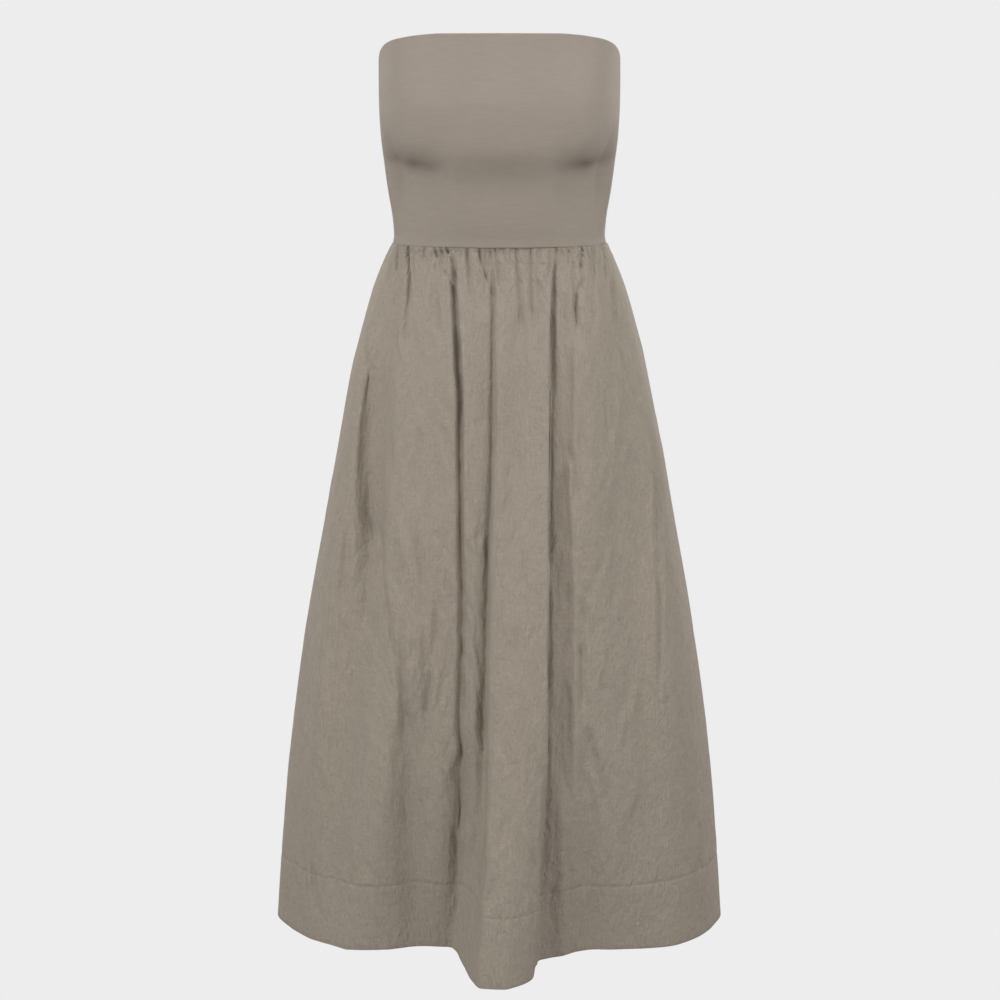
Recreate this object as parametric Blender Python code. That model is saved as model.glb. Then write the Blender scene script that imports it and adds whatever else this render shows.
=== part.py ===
"""Strapless midi dress, empty but filled out: a smooth knit tube bodice over a gathered woven skirt.

Metres, +Z up. The front faces -Y and the origin is the middle of the top opening, where the dress is held.
The wall is worked out in rings: each ring runs round the whole dress, from the left side seam over the
front to the right side seam and back over the back. The four pieces are then cut from those rings.
"""

import math

import bmesh
import bpy
import numpy as np

KNIT_WALL = 0.0016
WOVEN_WALL = 0.0012
HEM_WALL = 0.0022
SEAM_GAP = 0.0003
# At a corner of 120 degrees or more the wall's inside point moves in by no more than twice the wall.
SHARPEST_CORNER = 0.5

WAIST_SEAM_Z = -0.2417
HEM_Z = -1.0715
HEM_TURN_UP = 0.080
# The hem hangs this much lower for each metre that a fold stands out beyond the plain cone.
HEM_DROP_PER_METRE = 0.11
HEM_DROP_FROM = 0.150

BODICE_ROWS = 11
BODICE_COLUMNS = 26

GATHERS = 28
COLUMNS_PER_GATHER = 4
GATHER_AT_SEAM = 0.0010
GATHER_DEPTH = 0.0030
GATHER_FULL_BELOW = 0.014
GATHER_FADES_OVER = 0.060
GATHER_UNEVENNESS = 0.35
GATHER_UNEVENNESS_STEP = 2.4

# How far each row of points lies below the waist seam. The gathers need close rows and columns, and
# from FIRST_OPEN_ROW down the rows are open and take every second column.
SKIRT_ROWS = (0.0, 0.008, 0.022, 0.045, 0.080, 0.125, 0.180, 0.245, 0.315, 0.385, 0.455, 0.525,
              0.595, 0.670, 0.746, 0.750, 0.830)
FIRST_OPEN_ROW = 5

# The dress without its folds, from the top edge down to the hem.
# height, half width, depth in front of the axis, depth behind it
FIGURE = (
    (0.000, 0.1398, 0.104, 0.092),
    (-0.045, 0.1402, 0.106, 0.093),
    (-0.080, 0.1399, 0.107, 0.092),
    (-0.115, 0.1383, 0.105, 0.090),
    (-0.150, 0.1348, 0.102, 0.088),
    (-0.180, 0.1309, 0.098, 0.085),
    (-0.216, 0.1252, 0.094, 0.082),
    (-0.235, 0.1240, 0.092, 0.081),
    (-0.242, 0.1262, 0.093, 0.082),
    (-0.263, 0.1361, 0.101, 0.088),
    (-0.287, 0.1458, 0.108, 0.095),
    (-0.334, 0.1604, 0.119, 0.106),
    (-0.382, 0.1728, 0.128, 0.114),
    (-0.478, 0.1917, 0.139, 0.125),
    (-0.576, 0.2100, 0.149, 0.142),
    (-0.674, 0.2288, 0.158, 0.156),
    (-0.774, 0.2447, 0.167, 0.170),
    (-0.874, 0.2572, 0.176, 0.187),
    (-0.976, 0.2664, 0.184, 0.202),
    (-1.085, 0.2745, 0.191, 0.215),
)

# The knit is cut and stretched over a rounded bust, and spans from one side of it to the other.
# height, how far the bust stands out on each side, how far the cloth stands out between
BUST = (
    (0.010, 0.002, 0.004),
    (-0.030, 0.016, 0.013),
    (-0.065, 0.026, 0.020),
    (-0.095, 0.028, 0.022),
    (-0.120, 0.023, 0.019),
    (-0.145, 0.009, 0.012),
    (-0.165, 0.002, 0.006),
    (-0.195, 0.000, 0.001),
    (-0.250, 0.000, 0.000),
)
BUST_HALF_SPACING = 0.078
BUST_HALF_WIDTH = 0.052
# The bust fades towards the side seams with this power of the cosine of the angle from the front.
BUST_FADE_POWER = 0.5

# The top edge is level across the front and dips under the arms.
# angle round from the middle of the front in degrees, drop
TOP_EDGE = (
    (0, 0.0),
    (35, 0.0),
    (49, 0.0044),
    (63, 0.0100),
    (75, 0.0190),
    (85, 0.0290),
    (100, 0.0340),
    (180, 0.0355),
)

# Each row is one line of cloth down a panel, the top of a fold or the bottom of a valley, counted in
# gathers from the panel's left seam. Its x is to the right for someone who faces the panel, and its
# depth is towards them from the dress's axis, at the hip, knee and hem. The front has one deep fold that
# stands far out at the hem, with a narrow one on its left and an overlapped valley on its right.
HIP_Z = -0.460
KNEE_Z = -0.747
# gather, waist x, hip x, hip depth, knee x, knee depth, hem x, hem depth
FRONT_FOLDS = (
    (3.0, -0.1190, -0.1740, 0.066, -0.2055, 0.092, -0.2390, 0.085),
    (4.5, -0.1080, -0.1420, 0.080, -0.1710, 0.104, -0.2030, 0.117),
    (7.0, -0.0860, -0.1000, 0.130, -0.1170, 0.146, -0.1600, 0.128),
    (9.0, -0.0675, -0.0545, 0.128, -0.0585, 0.137, -0.0955, 0.098),
    (10.0, -0.0577, -0.0445, 0.103, -0.0460, 0.108, -0.0660, 0.093),
    (11.5, -0.0345, -0.0280, 0.134, -0.0325, 0.150, -0.0500, 0.130),
    (12.5, -0.0125, -0.0105, 0.126, -0.0160, 0.160, -0.0390, 0.180),
    (13.5, 0.0025, -0.0020, 0.143, -0.0075, 0.186, -0.0280, 0.228),
    (14.5, 0.0190, 0.0232, 0.146, 0.0200, 0.192, 0.0040, 0.231),
    (16.0, 0.0490, 0.0577, 0.136, 0.0540, 0.178, 0.0365, 0.206),
    (18.0, 0.0680, 0.0585, 0.106, 0.0555, 0.118, 0.0460, 0.142),
    (19.0, 0.0775, 0.0785, 0.110, 0.0800, 0.118, 0.0890, 0.107),
    (21.0, 0.0950, 0.1120, 0.120, 0.1210, 0.139, 0.1670, 0.123),
    (23.0, 0.1090, 0.1530, 0.075, 0.1630, 0.112, 0.2050, 0.115),
    (24.5, 0.1170, 0.1770, 0.058, 0.1900, 0.108, 0.2410, 0.083),
)
BACK_FOLDS = (
    (4.0, -0.1105, -0.1680, 0.066, -0.2080, 0.098, -0.2370, 0.108),
    (5.5, -0.0965, -0.1380, 0.082, -0.1720, 0.116, -0.2050, 0.150),
    (8.5, -0.0645, -0.0920, 0.118, -0.1180, 0.165, -0.1400, 0.212),
    (10.5, -0.0415, -0.0600, 0.120, -0.0760, 0.160, -0.0850, 0.188),
    (12.5, -0.0180, -0.0400, 0.104, -0.0480, 0.130, -0.0450, 0.140),
    (14.0, 0.0000, -0.0120, 0.124, -0.0140, 0.150, -0.0120, 0.150),
    (15.5, 0.0180, 0.0180, 0.108, 0.0220, 0.132, 0.0280, 0.142),
    (17.5, 0.0415, 0.0500, 0.126, 0.0620, 0.166, 0.0720, 0.203),
    (19.0, 0.0590, 0.0800, 0.122, 0.0980, 0.168, 0.1120, 0.216),
    (21.0, 0.0805, 0.1120, 0.098, 0.1380, 0.132, 0.1600, 0.165),
    (22.5, 0.0965, 0.1400, 0.094, 0.1760, 0.128, 0.2000, 0.160),
    (25.0, 0.1195, 0.1720, 0.056, 0.2160, 0.082, 0.2450, 0.100),
)
# The folds open quickly under the waist seam and slowly further down.
FOLD_OPENING_POWER = 0.6

KNIT_COLOUR = (0.350, 0.304, 0.262, 1.0)
WOVEN_COLOUR = (0.308, 0.266, 0.223, 1.0)
CLOTH_ROUGHNESS = 0.9


def smooth(at, values, where):
    """Values on a smooth curve through a table, which turns only at the table's own highs and lows."""
    at = np.asarray(at, float)
    values = np.asarray(values, float)
    where = np.clip(where, at[0], at[-1])
    step = np.diff(at)
    rise = np.diff(values, axis=0) / step.reshape((-1,) + (1,) * (values.ndim - 1))
    slope = np.zeros_like(values)
    same_way = rise[:-1] * rise[1:] > 0
    mean = 2 * rise[:-1] * rise[1:] / np.where(same_way, rise[:-1] + rise[1:], 1)
    slope[1:-1] = np.where(same_way, mean, 0)
    slope[0] = rise[0]
    slope[-1] = rise[-1]
    span = np.clip(np.searchsorted(at, where, side="right") - 1, 0, len(step) - 1)
    shape = np.shape(where) + (1,) * (values.ndim - 1)
    width = step[span].reshape(shape)
    t = ((where - at[span]) / step[span]).reshape(shape)
    rest = 1 - t
    return (
        values[span] * (1 + 2 * t) * rest**2
        + values[span + 1] * (3 - 2 * t) * t**2
        + width * (slope[span] * t * rest**2 - slope[span + 1] * rest * t**2)
    )


def figure_at(z):
    """Half width, front depth and back depth of the plain figure at each height."""
    table = np.array(FIGURE[::-1])
    return np.moveaxis(smooth(table[:, 0], table[:, 1:], z), -1, 0)


def bust_at(x, z):
    """How far the knit stands out in front of the plain figure."""
    table = np.array(BUST[::-1])
    sides, between = np.moveaxis(smooth(table[:, 0], table[:, 1:], z), -1, 0)
    side = np.exp(-(((np.abs(x) - BUST_HALF_SPACING) / BUST_HALF_WIDTH) ** 2))
    span = np.clip(1 - np.abs(x) / BUST_HALF_SPACING, 0, 1)
    return sides * side + between * span**2 * (3 - 2 * span) * (1 - side)


def bodice_rings():
    """Points of the bodice's outside, by row from the top edge down and by column round the dress."""
    angle = np.linspace(-math.pi / 2, 1.5 * math.pi, 2 * BODICE_COLUMNS, endpoint=False)
    table = np.array(TOP_EDGE)
    from_front = np.abs((np.degrees(angle) + 180) % 360 - 180)
    top = -smooth(table[:, 0], table[:, 1], from_front)
    down = np.linspace(0, 1, BODICE_ROWS + 1)[:, None]
    z = top + (WAIST_SEAM_Z + SEAM_GAP / 2 - top) * down
    half_width, front_depth, back_depth = figure_at(z)
    x = half_width * np.sin(angle)
    depth = np.cos(angle)
    y = -np.where(depth > 0, front_depth, back_depth) * depth
    y -= bust_at(x, z) * np.clip(depth, 0, 1) ** BUST_FADE_POWER
    return np.stack([x, y, z], axis=-1)


def fold_levels(gather):
    """Places round the dress at the waist, hip, knee and hem, as shares of the figure's widths."""
    front = np.array(FRONT_FOLDS)
    back = np.array(BACK_FOLDS)
    waist_width, _, _ = figure_at(WAIST_SEAM_Z)
    front_angle = np.arcsin(front[:, 1] / waist_width)
    back_angle = math.pi + np.arcsin(back[:, 1] / waist_width)
    quarter = math.pi / 2
    count = np.concatenate([[0], front[:, 0], [GATHERS], GATHERS + back[:, 0], [2 * GATHERS]])
    angle = np.concatenate([[-quarter], front_angle, [quarter], back_angle, [3 * quarter]])
    angle = smooth(count, angle, gather)
    levels = [np.stack([np.sin(angle), -np.cos(angle)], axis=-1)]
    for column, z in ((2, HIP_Z), (4, KNEE_Z), (6, HEM_Z)):
        half_width, front_depth, back_depth = figure_at(z)
        front_share = front[:, column:column + 2] / (half_width, -front_depth)
        back_share = back[:, column:column + 2] / (-half_width, back_depth)
        share = np.concatenate([[(-1, 0)], front_share, [(1, 0)], back_share])
        # The ring is carried on past both ends, so that it closes smoothly at the left seam.
        share = np.concatenate([share[-2:], share, share[:3]])
        ring_count = np.concatenate([count[-3:-1] - 2 * GATHERS, count, count[1:3] + 2 * GATHERS])
        levels.append(smooth(ring_count, share, gather))
    return np.array(levels)


def outward(points):
    """Normals of rings of points, longer at a corner, so that a wall keeps its thickness round it."""
    ahead = np.roll(points, -1, axis=1) - points
    down = np.gradient(points, axis=0)
    normal = np.cross(down, ahead)
    normal /= np.linalg.norm(normal, axis=-1, keepdims=True)
    before = np.roll(normal, 1, axis=1)
    straightness = 1 + np.sum(normal * before, axis=-1, keepdims=True)
    return (normal + before) / np.clip(straightness, SHARPEST_CORNER, None)


def gather_relief(gather, below):
    """How far the gathers stand in from the outline at each place, most just under the waist seam."""
    uneven = 1 + GATHER_UNEVENNESS * np.sin(GATHER_UNEVENNESS_STEP * np.floor(gather))
    valley = 1 + np.cos(2 * math.pi * gather)
    start = np.clip(below / GATHER_FULL_BELOW, 0, 1)
    depth = GATHER_AT_SEAM + (GATHER_DEPTH - GATHER_AT_SEAM) * start
    fade = np.exp(-(np.clip(below - GATHER_FULL_BELOW, 0, None) / GATHER_FADES_OVER) ** 2)
    return -depth * fade * (1 + (uneven - 1) * start) * valley


def skirt_rings():
    """Points of the skirt's outside, by row from the waist seam down and by column round the dress."""
    columns = 2 * GATHERS * COLUMNS_PER_GATHER
    gather = np.arange(columns) / COLUMNS_PER_GATHER
    levels = fold_levels(gather)
    hem_depth = np.abs(levels[-1][:, 1]) * np.where(
        levels[-1][:, 1] < 0, figure_at(HEM_Z)[1], figure_at(HEM_Z)[2]
    )
    hem_z = HEM_Z - HEM_DROP_PER_METRE * np.clip(hem_depth - HEM_DROP_FROM, 0, None)
    top_z = WAIST_SEAM_Z - SEAM_GAP / 2
    down = np.array(SKIRT_ROWS)[:, None] / SKIRT_ROWS[-1]
    z = top_z + (hem_z - top_z) * down
    opening = ((top_z - np.array([top_z, HIP_Z, KNEE_Z, HEM_Z])) / (top_z - HEM_Z)) ** FOLD_OPENING_POWER
    share = smooth(opening, levels, down[:, 0] ** FOLD_OPENING_POWER)
    half_width, front_depth, back_depth = figure_at(z)
    x = share[..., 0] * half_width
    y = share[..., 1] * np.where(share[..., 1] < 0, front_depth, back_depth)
    points = np.stack([x, y, z], axis=-1)
    sideways = outward(points)
    sideways[..., 2] = 0
    points += sideways * gather_relief(gather, top_z - z)[..., None]
    # The open rows are straight between every second column.
    spread = points[FIRST_OPEN_ROW:, ::2]
    points[FIRST_OPEN_ROW:, 1::2] = (spread + np.roll(spread, -1, axis=1)) / 2
    return points


def panel_rows(rings, first, last, open_from=None):
    """The rows of one panel, from column first to column last, set back from both side seams."""
    count = rings.shape[1]
    rows = []
    for number, ring in enumerate(rings):
        step = 2 if open_from is not None and number >= open_from else 1
        row = ring[np.arange(first, last + 1, step) % count].copy()
        for end, inner in ((0, 1), (-1, -2)):
            inwards = row[inner] - row[end]
            row[end] += inwards * (SEAM_GAP / 2 / np.linalg.norm(inwards))
        rows.append(row)
    return rows


def loft(mesh, rows, turned):
    """Triangles between rows of points, where a row may have half as many columns as the one above.

    They are cut the same way inside and outside, so that a twisted stretch of wall keeps its thickness.
    """
    grid = [[mesh.verts.new(point) for point in row] for row in rows]
    for upper, lower in zip(grid, grid[1:]):
        step = (len(upper) - 1) // (len(lower) - 1)
        for column in range(len(lower) - 1):
            top = upper[column * step:(column + 1) * step + 1]
            corners = [lower[column + 1], *reversed(top)]
            for first, second in zip(corners, corners[1:]):
                pair = (second, first) if turned else (first, second)
                mesh.faces.new((lower[column], *pair))
    return grid


def rim(grid):
    """The points along all four edges of a lofted panel, in order."""
    right = [row[-1] for row in grid[1:]]
    bottom = grid[-1][-2::-1]
    left = [row[0] for row in grid[-2:0:-1]]
    return [*grid[0], *right, *bottom, *left]


def add_panel(name, rings, wall, first, last, open_from, material):
    """One cut piece: an outside and an inside a wall apart, closed along its four edges."""
    inside = rings - outward(rings) * wall
    mesh = bmesh.new()
    outer = loft(mesh, panel_rows(rings, first, last, open_from), turned=False)
    inner = loft(mesh, panel_rows(inside, first, last, open_from), turned=True)
    outer_rim = rim(outer)
    inner_rim = rim(inner)
    for place, point in enumerate(outer_rim):
        before = place - 1
        mesh.faces.new((outer_rim[before], point, inner_rim[place], inner_rim[before]))
    data = bpy.data.meshes.new(name)
    mesh.to_mesh(data)
    mesh.free()
    data.materials.append(material)
    data.shade_smooth()
    pieces.objects.link(bpy.data.objects.new(name, data))


def cloth_material(name, colour):
    material = bpy.data.materials.new(name)
    material.use_nodes = True
    shader = material.node_tree.nodes["Principled BSDF"]
    shader.inputs["Base Color"].default_value = colour
    shader.inputs["Roughness"].default_value = CLOTH_ROUGHNESS
    return material


def add_bodice():
    """The knit tube, cut as a front and a back that meet at the side seams."""
    knit = cloth_material("fine_knit", KNIT_COLOUR)
    rings = bodice_rings()
    for name, first in (("bodice_front", 0), ("bodice_back", BODICE_COLUMNS)):
        add_panel(name, rings, KNIT_WALL, first, first + BODICE_COLUMNS, None, knit)


def add_skirt():
    """The gathered skirt, cut as a front and a back, with its hem turned up and so twice as thick."""
    woven = cloth_material("crinkled_woven", WOVEN_COLOUR)
    rings = skirt_rings()
    below = np.array(SKIRT_ROWS)
    in_hem = below > below[-1] - HEM_TURN_UP - SEAM_GAP
    wall = np.where(in_hem, HEM_WALL, WOVEN_WALL)[:, None, None]
    panel = GATHERS * COLUMNS_PER_GATHER
    for name, first in (("skirt_front", 0), ("skirt_back", panel)):
        add_panel(name, rings, wall, first, first + panel, FIRST_OPEN_ROW, woven)


for old in list(bpy.data.objects):
    bpy.data.objects.remove(old, do_unlink=True)
pieces = bpy.data.collections.new("strapless_dress")
bpy.context.scene.collection.children.link(pieces)
add_bodice()
add_skirt()
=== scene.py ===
"""The looks of the strapless dress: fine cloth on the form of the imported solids, and a soft studio.

Metres, +Z up. The front faces -Y and the origin is the middle of the top opening. The cloth is worked out
in the same way as the solids, on a much finer grid, and its creases are then laid on it one by one.
"""

import math

import bpy
import numpy as np
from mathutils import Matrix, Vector


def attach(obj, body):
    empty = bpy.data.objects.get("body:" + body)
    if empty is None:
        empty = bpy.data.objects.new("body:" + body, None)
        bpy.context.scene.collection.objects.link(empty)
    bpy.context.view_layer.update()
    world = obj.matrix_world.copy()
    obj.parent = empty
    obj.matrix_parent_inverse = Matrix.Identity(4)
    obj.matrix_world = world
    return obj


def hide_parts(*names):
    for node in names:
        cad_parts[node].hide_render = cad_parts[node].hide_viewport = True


# The cloth's thickness, and the seams, which are drawn closer than in the solids
KNIT_WALL = 0.0016
WOVEN_WALL = 0.0010
HEM_WALL = 0.0016
SEAM_GAP = 0.0001
# A rim is half a turn from the outside to the inside, in this many steps.
RIM_STEPS = 4
# Where the cloth turns by 120 degrees or more, its inside point moves in by no more than twice the wall.
SHARPEST_CORNER = 0.5

# The waist seam and the hem are as high as in the solids.
WAIST_SEAM_Z = -0.2417
HEM_Z = -1.0715
SKIRT_LENGTH = 0.830
HEM_TURN_UP = 0.080
# The hem hangs this much lower for each metre that a fold stands out beyond the plain cone.
HEM_DROP_PER_METRE = 0.11
HEM_DROP_FROM = 0.150
# It is lifted this much for each metre that a valley lies behind the plain cone.
HEM_RISE_PER_METRE = 0.145
# The hem's height is blended with its neighbours this many times.
HEM_SOFTENING = 110

# Gathers and columns of points across a panel, and rows down the bodice
GATHERS = 28
COLUMNS_PER_GATHER = 11
PANEL_COLUMNS = GATHERS * COLUMNS_PER_GATHER
# The cloth is measured at this many places per gather to spread the columns evenly.
PLACES_PER_GATHER = 20
BODICE_COLUMNS = 130
BODICE_ROWS = 96

# The dress without its folds, from the top edge down to the hem.
# height, half width, depth in front of the axis, depth behind it
FIGURE = (
    (0.000, 0.1398, 0.104, 0.092),
    (-0.045, 0.1402, 0.106, 0.093),
    (-0.080, 0.1399, 0.107, 0.092),
    (-0.115, 0.1383, 0.105, 0.090),
    (-0.150, 0.1348, 0.102, 0.088),
    (-0.180, 0.1309, 0.098, 0.085),
    (-0.216, 0.1252, 0.094, 0.082),
    (-0.235, 0.1240, 0.092, 0.081),
    (-0.242, 0.1262, 0.093, 0.082),
    (-0.263, 0.1361, 0.101, 0.088),
    (-0.287, 0.1458, 0.108, 0.095),
    (-0.334, 0.1604, 0.119, 0.106),
    (-0.382, 0.1728, 0.128, 0.114),
    (-0.478, 0.1917, 0.139, 0.125),
    (-0.576, 0.2100, 0.149, 0.142),
    (-0.674, 0.2288, 0.158, 0.156),
    (-0.774, 0.2447, 0.167, 0.170),
    (-0.874, 0.2572, 0.176, 0.187),
    (-0.976, 0.2664, 0.184, 0.202),
    (-1.085, 0.2745, 0.191, 0.215),
)

# The knit is cut and stretched over a rounded bust, and spans from one side of it to the other.
# height, how far the bust stands out on each side, how far the cloth stands out between
BUST = (
    (0.010, 0.002, 0.003),
    (-0.030, 0.017, 0.009),
    (-0.060, 0.027, 0.014),
    (-0.085, 0.031, 0.017),
    (-0.120, 0.031, 0.017),
    (-0.135, 0.031, 0.0150),
    (-0.150, 0.031, 0.0085),
    (-0.165, 0.031, 0.0030),
    (-0.182, 0.031, 0.0014),
    (-0.200, 0.031, 0.0017),
    (-0.216, 0.031, 0.0020),
    (-0.228, 0.031, 0.0012),
    (-0.240, 0.031, 0.0000),
)
# Each side is full up to this height and this far from the middle, and ends in a quarter of an ellipse.
BUST_FULL_Z = -0.085
BUST_FULL_X = 0.106
BUST_DROP = 0.076
BUST_WIDTH = 0.044
BUST_INNER_WIDTH = 0.085
BUST_ROUNDNESS = 0.55
# Its drop shrinks towards the middle, down to the square root of this share.
BUST_LEAST_DROP = 0.1
# Inside this x the cloth spans freely, and outside the next it lies on the side's form.
BUST_SPAN_X = 0.050
BUST_LAID_X = 0.108
BUST_SOFTENING = 9
# The knit draws in under each side's edge, less so inside its free span, and not at the outline.
# depth, where it is deepest as a share of the ellipse, its reach inside and outside that
BUST_HOLLOW = (0.0165, 1.12, 0.38, 0.62)
BUST_HOLLOW_TOP_Z = -0.090
BUST_HOLLOW_FULL_Z = -0.125
BUST_HOLLOW_OUTLINE = 0.940
# The bust fades towards the side seams with this power of the cosine of the angle from the front.
BUST_FADE_POWER = 0.14

# The top edge is level across the front and dips under the arms.
# angle round from the middle of the front in degrees, drop
TOP_EDGE = (
    (0, 0.0),
    (28, 0.0002),
    (40, 0.0018),
    (50, 0.0042),
    (60, 0.0072),
    (70, 0.0122),
    (78, 0.0185),
    (86, 0.0270),
    (100, 0.0340),
    (180, 0.0355),
)

# Each row is one line of cloth down a panel, the top of a fold or the bottom of a valley, counted in
# gathers from the panel's left seam. Its x is to the right for someone who faces the panel, and its
# depth is towards them from the dress's axis, at the hip, knee and hem.
HIP_Z = -0.460
KNEE_Z = -0.747
# gather, waist x, hip x, hip depth, knee x, knee depth, hem x, hem depth
FRONT_FOLDS = (
    (1.6, -0.1225, -0.1820, 0.0480, -0.2240, 0.0600, -0.2580, 0.0520),
    (2.9, -0.1190, -0.1640, 0.0765, -0.2090, 0.0880, -0.2390, 0.0850),
    (3.5, -0.1160, -0.1585, 0.0765, -0.2010, 0.0920, -0.2310, 0.0930),
    (4.5, -0.1080, -0.1400, 0.0850, -0.1720, 0.1030, -0.2030, 0.1120),
    (5.3, -0.1010, -0.1210, 0.1090, -0.1420, 0.1330, -0.1800, 0.1300),
    (7.0, -0.0860, -0.0900, 0.1240, -0.1100, 0.1465, -0.1520, 0.1350),
    (8.2, -0.0750, -0.0680, 0.1295, -0.0820, 0.1480, -0.1180, 0.1370),
    (9.2, -0.0655, -0.0530, 0.1325, -0.0530, 0.1510, -0.0760, 0.1340),
    (9.9, -0.0577, -0.0462, 0.1275, -0.0462, 0.1440, -0.0630, 0.1340),
    (10.5, -0.0480, -0.0410, 0.1325, -0.0395, 0.1510, -0.0575, 0.1350),
    (11.3, -0.0390, -0.0310, 0.1350, -0.0300, 0.1590, -0.0505, 0.1460),
    (12.1, -0.0210, -0.0160, 0.1340, -0.0215, 0.1580, -0.0455, 0.1630),
    (12.6, -0.0100, -0.0082, 0.1312, -0.0162, 0.1570, -0.0400, 0.1830),
    (13.0, -0.0030, -0.0050, 0.1410, -0.0120, 0.1800, -0.0335, 0.2070),
    (13.7, 0.0055, 0.0020, 0.1435, -0.0020, 0.1880, -0.0220, 0.2300),
    (14.7, 0.0220, 0.0190, 0.1385, 0.0180, 0.1905, 0.0040, 0.2310),
    (15.4, 0.0360, 0.0340, 0.1400, 0.0350, 0.1870, 0.0200, 0.2240),
    (16.2, 0.0540, 0.0595, 0.1365, 0.0550, 0.1780, 0.0390, 0.2050),
    (16.9, 0.0610, 0.0590, 0.1250, 0.0552, 0.1610, 0.0420, 0.1780),
    (17.6, 0.0680, 0.0640, 0.1240, 0.0610, 0.1590, 0.0500, 0.1640),
    (18.8, 0.0775, 0.0820, 0.1260, 0.0800, 0.1580, 0.0860, 0.1470),
    (20.0, 0.0870, 0.0990, 0.1230, 0.1030, 0.1520, 0.1290, 0.1370),
    (21.3, 0.0970, 0.1230, 0.1070, 0.1340, 0.1360, 0.1710, 0.1290),
    (23.0, 0.1090, 0.1530, 0.0790, 0.1640, 0.1130, 0.2050, 0.1170),
    (24.5, 0.1170, 0.1770, 0.0550, 0.1880, 0.1030, 0.2410, 0.0830),
    (26.2, 0.1215, 0.1850, 0.0330, 0.2190, 0.0700, 0.2600, 0.0480),
)
BACK_FOLDS = (
    (4.0, -0.1105, -0.1680, 0.066, -0.2080, 0.098, -0.2370, 0.108),
    (5.5, -0.0965, -0.1380, 0.082, -0.1720, 0.116, -0.2050, 0.150),
    (8.5, -0.0645, -0.0920, 0.118, -0.1180, 0.165, -0.1400, 0.212),
    (10.5, -0.0415, -0.0600, 0.120, -0.0760, 0.160, -0.0850, 0.188),
    (12.5, -0.0180, -0.0400, 0.104, -0.0480, 0.130, -0.0450, 0.140),
    (14.0, 0.0000, -0.0120, 0.124, -0.0140, 0.150, -0.0120, 0.150),
    (15.5, 0.0180, 0.0180, 0.108, 0.0220, 0.132, 0.0280, 0.142),
    (17.5, 0.0415, 0.0500, 0.126, 0.0620, 0.166, 0.0720, 0.203),
    (19.0, 0.0590, 0.0800, 0.122, 0.0980, 0.168, 0.1120, 0.216),
    (21.0, 0.0805, 0.1120, 0.098, 0.1380, 0.132, 0.1600, 0.165),
    (22.5, 0.0965, 0.1400, 0.094, 0.1760, 0.128, 0.2000, 0.160),
    (25.0, 0.1195, 0.1720, 0.056, 0.2160, 0.082, 0.2450, 0.100),
)
# The folds open quickly under the waist seam and slowly further down.
FOLD_OPENING_POWER = 0.6

# Stretches of evenly spaced rows down the skirt.
# where the stretch starts below the skirt's top edge, row spacing
SKIRT_ROW_STRETCHES = (
    (0.000, 0.0012),
    (0.009, 0.0018),
    (0.030, 0.0032),
    (0.100, 0.0071),
    (0.742, 0.0014),
    (0.758, 0.0068),
)

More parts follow.
